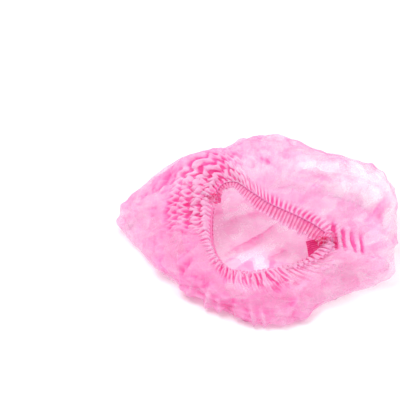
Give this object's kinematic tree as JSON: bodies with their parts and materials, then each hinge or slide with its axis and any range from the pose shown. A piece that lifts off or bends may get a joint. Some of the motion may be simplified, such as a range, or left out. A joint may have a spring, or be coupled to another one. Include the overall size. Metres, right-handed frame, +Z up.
{
  "type": "disposable hair cover cap",
  "caption": "Opened gathered hair cover of thin cloth, lying on its crown with its elastic mouth up and open.",
  "frame": {"origin": "middle of the cap's outline seen from above, on the plane it rests on", "axes": "+Z up through the open mouth, +X along the cap's long way between its two end tacks, +Y towards the high side of the bag"},
  "size_m": [0.3506, 0.278, 0.1008],
  "materials": {
    "pink_cloth": "thin translucent spunbond cloth, matte",
    "pink_elastic": "dark pink covered elastic",
    "pink_weld": "welded stack of pleated cloth"
  },
  "bodies": {
    "root": {"crown": "pink_cloth", "back_ruffle": "pink_cloth", "front_ruffle": "pink_cloth", "back_elastic": "pink_elastic", "front_elastic": "pink_elastic", "left_tack": "pink_weld", "right_tack": "pink_weld"}
  },
  "joints": []
}
